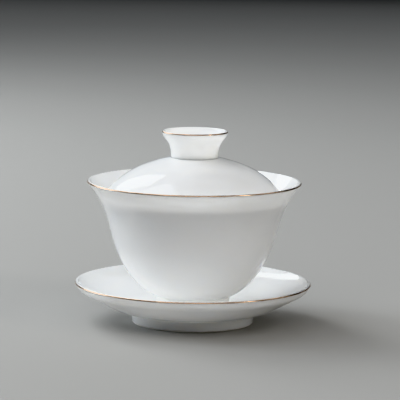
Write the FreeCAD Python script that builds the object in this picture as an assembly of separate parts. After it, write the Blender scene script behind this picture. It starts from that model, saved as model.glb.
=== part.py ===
import FreeCAD, Part
import math
import os

# A gaiwan: a tea bowl with its lid, on its own saucer, in thin white porcelain with fired gold lines.
# Every piece is turned about the Z axis, so it is drawn as a half section and revolved.
# A section point is (radius, height) in millimetres.  Height 0 is the table, under the saucer's foot.

# Overall sizes
BOWL_RADIUS = 50.0
BOWL_TOP = 66.8
SAUCER_RADIUS = 55.3
SAUCER_TOP = 19.25
LID_RADIUS = 42.5
LID_EDGE_HEIGHT = 58.8
KNOB_RADIUS = 15.4
KNOB_TOP = 90.3

# Half thickness of each rounded rim
BOWL_LIP = 0.75
SAUCER_LIP = 0.75
LID_LIP = 0.9
KNOB_LIP = 0.7

# Direction that each wall has where it runs into its rim, in degrees above the outward radius
BOWL_LIP_ANGLE = 50
SAUCER_LIP_ANGLE = 56
LID_LIP_ANGLE = -55
KNOB_LIP_ANGLE = 76

# Saucer foot ring: it leans out to the crease under the wall, and its inner face leans in to the recess
SAUCER_FOOT_RADIUS = 28.2
SAUCER_FOOT_WIDTH = 2.3
SAUCER_FOOT_TAPER = 1.2
SAUCER_FOOT_HEIGHT = 5.4
SAUCER_FOOT_INNER_LEAN = 0.4
SAUCER_RECESS = 3.2
SAUCER_RECESS_ROUND = 1.0

# Saucer wall: its underside from the crease to the rim
SAUCER_WALL = 2.3
SAUCER_CREASE_OUT = 1.2
SAUCER_CREASE_UP = 0.15
SAUCER_UNDERSIDE = [(36, 6.6), (43.5, 10.1), (50, 13.6), (53.6, 15.9)]
SAUCER_UNDERSIDE_ANGLE = 4
SAUCER_DISH_ANGLE = 3
SAUCER_DISH_STATIONS = 6

# Well: the shallow round step in the saucer's floor that the bowl stands in
WELL_FLOOR = 6.0
WELL_RADIUS = 18.6
WELL_DEPTH = 0.8
WELL_SLOPE = 0.6
WELL_EDGE_WIDTH = 1.4
WELL_EDGE_DROP = 0.04

# Bowl foot ring
BOWL_FOOT_RADIUS = 16.5
BOWL_FOOT_WIDTH = 2.3
BOWL_FOOT_TAPER = 1.0
BOWL_FOOT_TOP = 12.7
BOWL_FOOT_INNER_LEAN = 0.5
BOWL_RECESS = 10.6
BOWL_RECESS_ROUND = 1.5
STANDING_GAP = 0.05

# Bowl wall: its outside from the crease above the foot to the flared rim, and the floor inside
BOWL_WALL = 2.5
BOWL_CREASE_OUT = 1.6
BOWL_CREASE_UP = 0.75
BOWL_OUTSIDE = [(26.1, 18.4), (32.7, 27.0), (37.5, 38.0), (40.9, 50.0), (44.8, 58.7)]
BOWL_OUTSIDE_ANGLE = 25
BOWL_FLOOR = 14.4
BOWL_FLOOR_RADIUS = 10
BOWL_FLOOR_RISE = 0.35
BOWL_HOLLOW_STATIONS = 9

# Lid: its outside from the apex to the edge
LID_APEX = 79.2
LID_WALL = 2.2
LID_OUTSIDE = [(10.5, 77.85), (20, 75.35), (28, 72.1), (36, 66.6)]
LID_UNDERSIDE_STATIONS = 8

# Knob: a hollow ring that flares upwards, rooted in the dome
KNOB_BASE_RADIUS = 11.1
KNOB_INSIDE_RADIUS = 8.9
KNOB_ROOT = 76.6
KNOB_OUTSIDE = [(11.15, 80.5), (12.75, 85.0), (14.7, 87.6)]
KNOB_INSIDE = [(9.1, 81.0), (11.2, 86.0)]
KNOB_OUTSIDE_ANGLE = 92
KNOB_INSIDE_ANGLE = 90

# Small roundings
FOOT_ROUND = 0.6
CREASE_ROUND = 0.5
WELL_ROUND = 0.35

# The gold line: a skin let into the outside of a rim, between two angles above the outward radius
GOLD_THICKNESS = 0.12
GOLD_START = -6
GOLD_END = 48
LID_GOLD_START = -14
LID_GOLD_END = 32
GOLD_SECTORS = 8

AXIS_POINT = FreeCAD.Vector(0, 0, 0)
AXIS_DIRECTION = FreeCAD.Vector(0, 0, 1)
FULL_TURN = 360


def at(radius, height):
    """The point of the half section with this radius and height."""
    return FreeCAD.Vector(radius, 0, height)


def direction(degrees):
    """The unit vector in the half section at this angle above the outward radius."""
    angle = math.radians(degrees)
    return at(math.cos(angle), math.sin(angle))


def line(start, end):
    return Part.LineSegment(start, end).toShape()


def arc(start, middle, end):
    return Part.Arc(start, middle, end).toShape()


def smooth(points, start_angle, end_angle):
    """A smooth curve through the points, with the direction that it has at each end."""
    curve = Part.BSplineCurve()
    curve.interpolate(Points=points, InitialTangent=direction(start_angle), FinalTangent=direction(end_angle))
    return curve


def inside_of(curve, start_wall, end_wall, stations):
    """Points inside a wall that thins evenly towards its rim, at stations along its outer curve."""
    wall_points = []
    for index in range(stations):
        share = index / (stations - 1)
        parameter = curve.FirstParameter + share * (curve.LastParameter - curve.FirstParameter)
        tangent = curve.tangent(parameter)[0]
        inward = at(-tangent.z, tangent.x)
        wall = start_wall + share * (end_wall - start_wall)
        wall_points.append(curve.value(parameter) + inward * wall)
    return wall_points


def rounded(corners):
    """Edges through (radius, height, rounding) corners, each corner turned by an arc of its rounding."""
    edges = []
    last = at(*corners[0][:2])
    for index in range(1, len(corners) - 1):
        corner = at(*corners[index][:2])
        back = (at(*corners[index - 1][:2]) - corner).normalize()
        ahead = (at(*corners[index + 1][:2]) - corner).normalize()
        half_angle = back.getAngle(ahead) / 2
        rounding = corners[index][2]
        reach = rounding / math.tan(half_angle)
        inward = (back + ahead).normalize()
        depth = rounding / math.sin(half_angle) - rounding
        start = corner + back * reach
        end = corner + ahead * reach
        edges.append(line(last, start))
        edges.append(arc(start, corner + inward * depth, end))
        last = end
    edges.append(line(last, at(*corners[-1][:2])))
    return edges


def turned(edges):
    """The solid made by turning a closed half section about the Z axis."""
    section = Part.Face(Part.Wire(edges))
    return section.revolve(AXIS_POINT, AXIS_DIRECTION, FULL_TURN)


def turned_in_sectors(edges, count):
    """The same ring, made of equal sectors that are joined into one solid."""
    section = Part.Face(Part.Wire(edges))
    sector = section.revolve(AXIS_POINT, AXIS_DIRECTION, FULL_TURN / count)
    sectors = []
    for index in range(count):
        copy = sector.copy()
        copy.rotate(AXIS_POINT, AXIS_DIRECTION, index * FULL_TURN / count)
        sectors.append(copy)
    return sectors[0].fuse(sectors[1:])


class Rim:
    """The rounded end of a wall: a half circle, with the gold skin let into part of it.

    side is 1 where the wall's outer face is met by turning clockwise from its tip, as on a cup,
    and -1 where the outer face lies anticlockwise from the tip, as on a lid's edge.
    """

    def __init__(self, centre, radius, tip_angle, side, gold_start, gold_end):
        self.centre = centre
        self.radius = radius
        self.outer_angle = tip_angle - 90 * side
        self.inner_angle = tip_angle + 90 * side
        self.near_angle = gold_start if side > 0 else gold_end
        self.far_angle = gold_end if side > 0 else gold_start

    def point(self, angle, depth=0.0):
        return self.centre + direction(angle) * (self.radius - depth)

    def sweep(self, start, end, depth=0.0):
        return arc(self.point(start, depth), self.point((start + end) / 2, depth), self.point(end, depth))

    def step(self, angle):
        return line(self.point(angle), self.point(angle, GOLD_THICKNESS))

    def outer_end(self):
        return self.point(self.outer_angle)

    def inner_end(self):
        return self.point(self.inner_angle)

    def porcelain_edges(self):
        """The rim from the outer face of the wall to the inner one, with the gold's rebate in it."""
        return [
            self.sweep(self.outer_angle, self.near_angle),
            self.step(self.near_angle),
            self.sweep(self.near_angle, self.far_angle, GOLD_THICKNESS),
            self.step(self.far_angle),
            self.sweep(self.far_angle, self.inner_angle),
        ]

    def gold(self):
        """The gold line, which fills the rebate flush with the porcelain."""
        section = [
            self.sweep(self.near_angle, self.far_angle),
            self.step(self.far_angle),
            self.sweep(self.far_angle, self.near_angle, GOLD_THICKNESS),
            self.step(self.near_angle),
        ]
        return turned_in_sectors(section, GOLD_SECTORS)


def cup_rim(radius, top, lip, angle):
    """The rim of a cup-shaped wall, from its largest radius and its highest level."""
    return Rim(at(radius - lip, top - lip), lip, angle, 1, GOLD_START, GOLD_END)


def section_points(pairs):
    """The section points for a list of (radius, height) pairs."""
    return [at(radius, height) for radius, height in pairs]


def make_saucer():
    rim = cup_rim(SAUCER_RADIUS, SAUCER_TOP, SAUCER_LIP, SAUCER_LIP_ANGLE)
    foot_inside = SAUCER_FOOT_RADIUS - SAUCER_FOOT_WIDTH
    foot_outside = SAUCER_FOOT_RADIUS + SAUCER_FOOT_TAPER
    crease = (foot_outside + SAUCER_CREASE_OUT, SAUCER_FOOT_HEIGHT + SAUCER_CREASE_UP)
    foot = rounded(
        [
            (0, SAUCER_RECESS),
            (foot_inside - SAUCER_FOOT_INNER_LEAN, SAUCER_RECESS, SAUCER_RECESS_ROUND),
            (foot_inside, 0, FOOT_ROUND),
            (SAUCER_FOOT_RADIUS, 0, FOOT_ROUND),
            (foot_outside, SAUCER_FOOT_HEIGHT, CREASE_ROUND),
            crease,
        ]
    )
    underside = smooth(
        [at(*crease)] + section_points(SAUCER_UNDERSIDE) + [rim.outer_end()],
        SAUCER_UNDERSIDE_ANGLE,
        SAUCER_LIP_ANGLE,
    )
    well_edge = (WELL_RADIUS + WELL_EDGE_WIDTH, WELL_FLOOR + WELL_DEPTH)
    dish = smooth(
        [at(*well_edge)] + inside_of(underside, SAUCER_WALL, 2 * SAUCER_LIP, SAUCER_DISH_STATIONS),
        SAUCER_DISH_ANGLE,
        SAUCER_LIP_ANGLE,
    )
    well = rounded(
        [
            well_edge,
            (WELL_RADIUS + WELL_SLOPE, WELL_FLOOR + WELL_DEPTH - WELL_EDGE_DROP, WELL_ROUND),
            (WELL_RADIUS, WELL_FLOOR, WELL_ROUND),
            (0, WELL_FLOOR),
        ]
    )
    axis = [line(at(0, WELL_FLOOR), at(0, SAUCER_RECESS))]
    porcelain = turned(foot + [underside.toShape()] + rim.porcelain_edges() + [dish.toShape()] + well + axis)
    return porcelain, rim.gold()


def make_bowl():
    rim = cup_rim(BOWL_RADIUS, BOWL_TOP, BOWL_LIP, BOWL_LIP_ANGLE)
    foot_base = WELL_FLOOR + STANDING_GAP
    foot_inside = BOWL_FOOT_RADIUS - BOWL_FOOT_WIDTH
    foot_outside = BOWL_FOOT_RADIUS + BOWL_FOOT_TAPER
    crease = (foot_outside + BOWL_CREASE_OUT, BOWL_FOOT_TOP + BOWL_CREASE_UP)
    foot = rounded(
        [
            (0, BOWL_RECESS),
            (foot_inside - BOWL_FOOT_INNER_LEAN, BOWL_RECESS, BOWL_RECESS_ROUND),
            (foot_inside, foot_base, FOOT_ROUND),
            (BOWL_FOOT_RADIUS, foot_base, FOOT_ROUND),
            (foot_outside, BOWL_FOOT_TOP, CREASE_ROUND),
            crease,
        ]
    )
    outside = smooth(
        [at(*crease)] + section_points(BOWL_OUTSIDE) + [rim.outer_end()],
        BOWL_OUTSIDE_ANGLE,
        BOWL_LIP_ANGLE,
    )
    floor = section_points([(0, BOWL_FLOOR), (BOWL_FLOOR_RADIUS, BOWL_FLOOR + BOWL_FLOOR_RISE)])
    hollow = smooth(
        floor + inside_of(outside, BOWL_WALL, 2 * BOWL_LIP, BOWL_HOLLOW_STATIONS),
        0,
        BOWL_LIP_ANGLE,
    )
    axis = [line(at(0, BOWL_FLOOR), at(0, BOWL_RECESS))]
    porcelain = turned(foot + [outside.toShape()] + rim.porcelain_edges() + [hollow.toShape()] + axis)
    return porcelain, rim.gold()


def make_lid():
    """The lid's dome, its knob, and the gold line of each."""
    rim = Rim(
        at(LID_RADIUS - LID_LIP, LID_EDGE_HEIGHT),
        LID_LIP,
        LID_LIP_ANGLE,
        -1,
        LID_GOLD_START,
        LID_GOLD_END,
    )
    outside = smooth(
        [at(0, LID_APEX)] + section_points(LID_OUTSIDE) + [rim.outer_end()],
        0,
        LID_LIP_ANGLE,
    )
    wall_points = inside_of(outside, -LID_WALL, -2 * LID_LIP, LID_UNDERSIDE_STATIONS)
    underside = smooth([at(0, LID_APEX - LID_WALL)] + wall_points[1:], 0, LID_LIP_ANGLE)
    axis = [line(at(0, LID_APEX - LID_WALL), at(0, LID_APEX))]
    dome = turned([outside.toShape()] + rim.porcelain_edges() + [underside.toShape()] + axis)
    base = [line(at(0, 0), at(0, LID_APEX)), line(at(LID_RADIUS, 0), at(0, 0))]
    filled = turned([outside.toShape(), line(rim.outer_end(), at(LID_RADIUS, 0))] + base)
    knob, knob_gold = make_knob(filled)
    return dome, rim.gold(), knob, knob_gold


def make_knob(filled_dome):
    """The hollow flared ring luted onto the dome, cut to the dome's own surface."""
    rim = cup_rim(KNOB_RADIUS, KNOB_TOP, KNOB_LIP, KNOB_LIP_ANGLE)
    outside = smooth(
        [at(KNOB_BASE_RADIUS, KNOB_ROOT)] + section_points(KNOB_OUTSIDE) + [rim.outer_end()],
        KNOB_OUTSIDE_ANGLE,
        KNOB_LIP_ANGLE,
    )
    inside = smooth(
        [at(KNOB_INSIDE_RADIUS, KNOB_ROOT)] + section_points(KNOB_INSIDE) + [rim.inner_end()],
        KNOB_INSIDE_ANGLE,
        KNOB_LIP_ANGLE,
    )
    root = [line(at(KNOB_INSIDE_RADIUS, KNOB_ROOT), at(KNOB_BASE_RADIUS, KNOB_ROOT))]
    ring = turned([outside.toShape()] + rim.porcelain_edges() + [inside.toShape()] + root)
    return ring.cut(filled_dome), rim.gold()


def main():
    saucer, saucer_gold = make_saucer()
    bowl, bowl_gold = make_bowl()
    lid, lid_gold, knob, knob_gold = make_lid()
    pieces = {
        "saucer": saucer,
        "saucer_gold_line": saucer_gold,
        "bowl": bowl,
        "bowl_gold_line": bowl_gold,
        "lid_dome": lid,
        "lid_gold_line": lid_gold,
        "lid_knob": knob,
        "knob_gold_line": knob_gold,
    }
    os.makedirs("parts", exist_ok=True)
    for name, shape in pieces.items():
        solid = shape.Solids[0]
        solid.exportStep(f"parts/{name}.step")
        print(name, len(shape.Solids), "solid", solid.isValid(), round(solid.Volume, 1), "mm3")


main()
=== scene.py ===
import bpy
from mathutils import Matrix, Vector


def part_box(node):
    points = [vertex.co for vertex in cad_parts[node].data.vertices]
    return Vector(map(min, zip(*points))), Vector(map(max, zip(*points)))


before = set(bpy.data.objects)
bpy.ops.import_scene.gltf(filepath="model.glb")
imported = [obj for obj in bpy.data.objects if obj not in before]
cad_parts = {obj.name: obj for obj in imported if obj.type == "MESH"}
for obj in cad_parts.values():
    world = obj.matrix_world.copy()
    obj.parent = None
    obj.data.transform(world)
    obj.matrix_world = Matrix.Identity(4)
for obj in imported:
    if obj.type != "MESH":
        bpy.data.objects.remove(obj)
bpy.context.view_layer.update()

import math

import bmesh
import bpy
from mathutils import Matrix, Vector

# Lengths are in metres, angles in degrees.  Azimuth 0 is the camera's side and grows towards +X.
# A noise is (scale, detail), and a span is the (low, high) part of its values that is used.

# Camera: on the -Y side, a little above the rims, with a long lens
CAMERA_DISTANCE = 1.1337
CAMERA_HEIGHT = 0.2178
CAMERA_PITCH = 8.04
CAMERA_YAW = 0.14
CAMERA_ROLL = 0.83
CAMERA_LENS = 220.6
SENSOR_WIDTH = 36

# Floor
FLOOR_HALF_SIZE = 6
FLOOR_CELLS = 40
FLOOR_COLOR = (0.34, 0.335, 0.325, 1)
FLOOR_ROUGHNESS = 0.85

# World: the dim room around the lamps
ROOM_COLOR = (0.85, 0.9, 1.0, 1)
ROOM_STRENGTH = 0.02

# Lamps, all aimed at the middle of the object:
# azimuth, elevation, distance, width, height, watts, colour
LAMP_TARGET = Vector((0, 0, 0.04))
LAMPS = {
    "window": (-142, 37, 1.3, 0.40, 0.82, 7.6, (0.96, 0.99, 1.0)),
    "ceiling_behind": (-163, 60, 1.6, 1.9, 1.3, 2.2, (0.97, 0.99, 1.0)),
    "wall_behind": (178, 33, 2.3, 3.0, 0.9, 3.4, (0.93, 0.97, 1.0)),
    "wall_behind_low": (178, 13, 2.6, 3.6, 0.8, 2.6, (0.91, 0.96, 1.0)),
    "wall_left": (-100, 30, 1.8, 1.2, 1.2, 6.0, (0.91, 0.96, 1.0)),
    "wall_left_high": (-85, 60, 1.8, 1.2, 1.0, 11.0, (0.93, 0.97, 1.0)),
    "wall_left_low": (-112, 16, 1.8, 0.9, 0.6, 18.0, (0.90, 0.96, 1.0)),
    "fill_front": (-5, 40, 1.8, 2.0, 1.1, 15.0, (1.0, 0.99, 0.98)),
    "fill_right": (50, 30, 1.8, 1.0, 1.0, 3.3, (1.0, 0.98, 0.94)),
    "wall_right": (95, 30, 1.8, 1.0, 1.0, 3.4, (1.0, 0.98, 0.94)),
    "strip_right": (57, 22, 1.3, 0.1, 0.45, 2.4, (1.0, 0.97, 0.9)),
}

# Porcelain: a glaze that varies slightly, over a body that light enters
GLAZE_LIGHT = (0.945, 0.945, 0.94, 1)
GLAZE_DEEP = (0.925, 0.928, 0.918, 1)
CLOUD_NOISE = (38, 3)
CLOUD_SPAN = (0.32, 0.68)
GLAZE_ROUGHNESS = (0.035, 0.075)
DISH_ROUGHNESS = (0.09, 0.14)
GLOSS_NOISE = (90, 2)
GLOSS_SPAN = (0.3, 0.7)
GLAZE_IOR = 1.65
SCATTER_RADIUS = (1.0, 0.97, 0.92)
SCATTER_SCALE = 0.0035

# Glaze pooled in the crease where a foot or the knob begins.
# A foot's crease is given above the base of the foot, and the knob's above the table.
GLAZE_POOLED = (0.86, 0.885, 0.86, 1)
POOL_STRENGTH = 0.55
POOL_REACH = 0.0028
SAUCER_CREASE = 0.0056
BOWL_CREASE = 0.0068
KNOB_CREASE_LEVEL = 0.0779

# Ripple in the glaze
RIPPLE_NOISE = (120, 1)
FINE_RIPPLE_NOISE = (520, 1)
FINE_RIPPLE_SHARE = 0.12
RIPPLE_STRENGTH = 0.5
RIPPLE_HEIGHT = 0.00012

# Bare porcelain at the base of a foot ring, up to a slightly uneven edge
BISCUIT = (0.74, 0.72, 0.68, 1)
BISCUIT_ROUGHNESS = 0.62
BARE_FULL = 0.0007
BARE_END = 0.0009
BARE_WANDER = 0.0002
BARE_NOISE = (260, 2)
BARE_SPAN = (0.3, 0.7)

# A foot level below every piece, for a piece with no foot ring
NO_FOOT = -1.0

# Gold
GOLD_BRIGHT = (0.54, 0.39, 0.275, 1)
GOLD_WORN = (0.37, 0.27, 0.2, 1)
GOLD_ROUGHNESS = (0.2, 0.36)
WEAR_NOISE = (150, 4, 0.65)
WEAR_SPAN = (0.42, 0.7)
BRUSH_NOISE = (900, 2)
BRUSH_STRENGTH = 0.25
BRUSH_HEIGHT = 0.00004


def direction(azimuth, elevation):
    """The unit vector from the object towards this azimuth and elevation."""
    a = math.radians(azimuth)
    e = math.radians(elevation)
    return Vector((math.sin(a) * math.cos(e), -math.cos(a) * math.cos(e), math.sin(e)))


def make_camera():
    data = bpy.data.cameras.new("camera")
    data.lens = CAMERA_LENS
    data.sensor_width = SENSOR_WIDTH
    camera = bpy.data.objects.new("camera", data)
    yaw = math.radians(CAMERA_YAW)
    pitch = math.radians(CAMERA_PITCH)
    roll = math.radians(CAMERA_ROLL)
    forward = Vector((math.sin(yaw) * math.cos(pitch), math.cos(yaw) * math.cos(pitch), -math.sin(pitch)))
    level_right = Vector((math.cos(yaw), -math.sin(yaw), 0))
    level_up = level_right.cross(forward)
    right = math.cos(roll) * level_right + math.sin(roll) * level_up
    up = math.cos(roll) * level_up - math.sin(roll) * level_right
    turn = Matrix((right, up, -forward)).transposed().to_4x4()
    camera.matrix_world = Matrix.Translation((0, -CAMERA_DISTANCE, CAMERA_HEIGHT)) @ turn
    bpy.context.scene.collection.objects.link(camera)
    bpy.context.scene.camera = camera


class Nodes:
    """A material's nodes, with short ways to add and join them."""

    def __init__(self, name):
        self.material = bpy.data.materials.new(name)
        self.material.use_nodes = True
        self.tree = self.material.node_tree
        self.shader = self.tree.nodes["Principled BSDF"]

    def add(self, kind, **settings):
        node = self.tree.nodes.new(kind)
        for name, value in settings.items():
            setattr(node, name, value)
        return node

    def join(self, source, target):
        self.tree.links.new(source, target)

    def set(self, socket, value):
        self.shader.inputs[socket].default_value = value

    def position(self):
        return self.add("ShaderNodeTexCoord").outputs["Object"]

    def noise(self, vector, scale, detail=2.0, roughness=0.5):
        node = self.add("ShaderNodeTexNoise")
        node.inputs["Scale"].default_value = scale
        node.inputs["Detail"].default_value = detail
        node.inputs["Roughness"].default_value = roughness
        self.join(vector, node.inputs["Vector"])
        return node.outputs["Fac"]

    def remap(self, value, low, high, to_low=0.0, to_high=1.0):
        node = self.add("ShaderNodeMapRange", interpolation_type="SMOOTHSTEP")
        limits = {"From Min": low, "From Max": high, "To Min": to_low, "To Max": to_high}
        for socket, number in limits.items():
            node.inputs[socket].default_value = number
        self.join(value, node.inputs["Value"])
        return node.outputs["Result"]

    def math(self, operation, first, second=0.0):
        node = self.add("ShaderNodeMath", operation=operation)
        for socket, value in zip(node.inputs, (first, second)):
            if isinstance(value, (int, float)):
                socket.default_value = value
            else:
                self.join(value, socket)
        return node.outputs["Value"]

    def blend(self, factor, first, second):
        node = self.add("ShaderNodeMix", data_type="RGBA")
        self.join(factor, node.inputs["Factor"])
        for name, value in (("A", first), ("B", second)):
            socket = [s for s in node.inputs if s.name == name and s.type == "RGBA"][0]
            if isinstance(value, tuple):
                socket.default_value = value
            else:
                self.join(value, socket)
        return [s for s in node.outputs if s.type == "RGBA"][0]

    def bump(self, height, strength, distance):
        node = self.add("ShaderNodeBump")
        node.inputs["Strength"].default_value = strength
        node.inputs["Distance"].default_value = distance
        self.join(height, node.inputs["Height"])
        self.join(node.outputs["Normal"], self.shader.inputs["Normal"])


def porcelain(name, foot_level, crease_level, roughness=GLAZE_ROUGHNESS):
    """Glossy white glaze over translucent porcelain, left bare at the base of the foot ring."""
    nodes = Nodes(name)
    position = nodes.position()
    split = nodes.add("ShaderNodeSeparateXYZ")
    nodes.join(position, split.inputs["Vector"])
    height = split.outputs["Z"]
    cloud = nodes.remap(nodes.noise(position, *CLOUD_NOISE), *CLOUD_SPAN)
    glaze = nodes.blend(cloud, GLAZE_LIGHT, GLAZE_DEEP)
    away = nodes.math("ABSOLUTE", nodes.math("SUBTRACT", height, crease_level))
    pooled = nodes.remap(away, 0.0, POOL_REACH, POOL_STRENGTH, 0.0)
    glaze = nodes.blend(pooled, glaze, GLAZE_POOLED)
    wander = nodes.remap(nodes.noise(position, *BARE_NOISE), *BARE_SPAN, -BARE_WANDER, BARE_WANDER)
    edge = nodes.math("ADD", height, wander)
    bare = nodes.remap(edge, foot_level + BARE_FULL, foot_level + BARE_END, 1, 0)
    nodes.join(nodes.blend(bare, glaze, BISCUIT), nodes.shader.inputs["Base Color"])
    gloss = nodes.remap(nodes.noise(position, *GLOSS_NOISE), *GLOSS_SPAN, *roughness)
    rough = nodes.add("ShaderNodeMix", data_type="FLOAT")
    nodes.join(bare, rough.inputs[0])
    nodes.join(gloss, rough.inputs[2])
    rough.inputs[3].default_value = BISCUIT_ROUGHNESS
    nodes.join(rough.outputs[0], nodes.shader.inputs["Roughness"])
    fine_ripple = nodes.math("MULTIPLY", nodes.noise(position, *FINE_RIPPLE_NOISE), FINE_RIPPLE_SHARE)
    ripple = nodes.math("ADD", nodes.noise(position, *RIPPLE_NOISE), fine_ripple)
    nodes.bump(ripple, RIPPLE_STRENGTH, RIPPLE_HEIGHT)
    nodes.set("IOR", GLAZE_IOR)
    nodes.set("Subsurface Weight", 1.0)
    nodes.set("Subsurface Radius", SCATTER_RADIUS)
    nodes.set("Subsurface Scale", SCATTER_SCALE)
    return nodes.material


def gold(name):
    """Fired gold, brushed on round the rim and a little worn."""
    nodes = Nodes(name)
    position = nodes.position()
    wear = nodes.remap(nodes.noise(position, *WEAR_NOISE), *WEAR_SPAN)
    nodes.join(nodes.blend(wear, GOLD_BRIGHT, GOLD_WORN), nodes.shader.inputs["Base Color"])
    nodes.join(nodes.remap(wear, 0, 1, *GOLD_ROUGHNESS), nodes.shader.inputs["Roughness"])
    nodes.bump(nodes.noise(position, *BRUSH_NOISE), BRUSH_STRENGTH, BRUSH_HEIGHT)
    nodes.set("Metallic", 1.0)
    return nodes.material


def dress(node_name, material):
    """Give a carried-over CAD node this material in every slot."""
    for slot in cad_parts[node_name].material_slots:
        slot.material = material


def make_floor():
    mesh = bpy.data.meshes.new("floor")
    work = bmesh.new()
    bmesh.ops.create_grid(work, x_segments=FLOOR_CELLS, y_segments=FLOOR_CELLS, size=FLOOR_HALF_SIZE)
    work.to_mesh(mesh)
    work.free()
    floor = bpy.data.objects.new("floor", mesh)
    bpy.context.scene.collection.objects.link(floor)
    nodes = Nodes("floor")
    nodes.set("Base Color", FLOOR_COLOR)
    nodes.set("Roughness", FLOOR_ROUGHNESS)
    mesh.materials.append(nodes.material)


def make_light():
    world = bpy.data.worlds.new("room")
    bpy.context.scene.world = world
    world.use_nodes = True
    background = world.node_tree.nodes["Background"]
    background.inputs["Color"].default_value = ROOM_COLOR
    background.inputs["Strength"].default_value = ROOM_STRENGTH
    for name, (azimuth, elevation, distance, width, height, watts, color) in LAMPS.items():
        data = bpy.data.lights.new(name, "AREA")
        data.shape = "RECTANGLE"
        data.size = width
        data.size_y = height
        data.energy = watts
        data.color = color
        lamp = bpy.data.objects.new(name, data)
        towards = direction(azimuth, elevation)
        lamp.location = LAMP_TARGET + towards * distance
        lamp.rotation_mode = "QUATERNION"
        lamp.rotation_quaternion = (-towards).to_track_quat("-Z", "Y")
        bpy.context.scene.collection.objects.link(lamp)


make_camera()
saucer_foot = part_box("saucer")[0][2]
bowl_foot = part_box("bowl")[0][2]
dress("saucer", porcelain("saucer_porcelain", saucer_foot, saucer_foot + SAUCER_CREASE, DISH_ROUGHNESS))
dress("bowl", porcelain("bowl_porcelain", bowl_foot, bowl_foot + BOWL_CREASE))
dress("lid_dome", porcelain("lid_dome_porcelain", NO_FOOT, KNOB_CREASE_LEVEL))
dress("lid_knob", porcelain("lid_knob_porcelain", NO_FOOT, KNOB_CREASE_LEVEL))
for band in ("saucer_gold_line", "bowl_gold_line", "lid_gold_line", "knob_gold_line"):
    dress(band, gold(band))
make_floor()
make_light()
bpy.context.scene.view_settings.view_transform = "Khronos PBR Neutral"
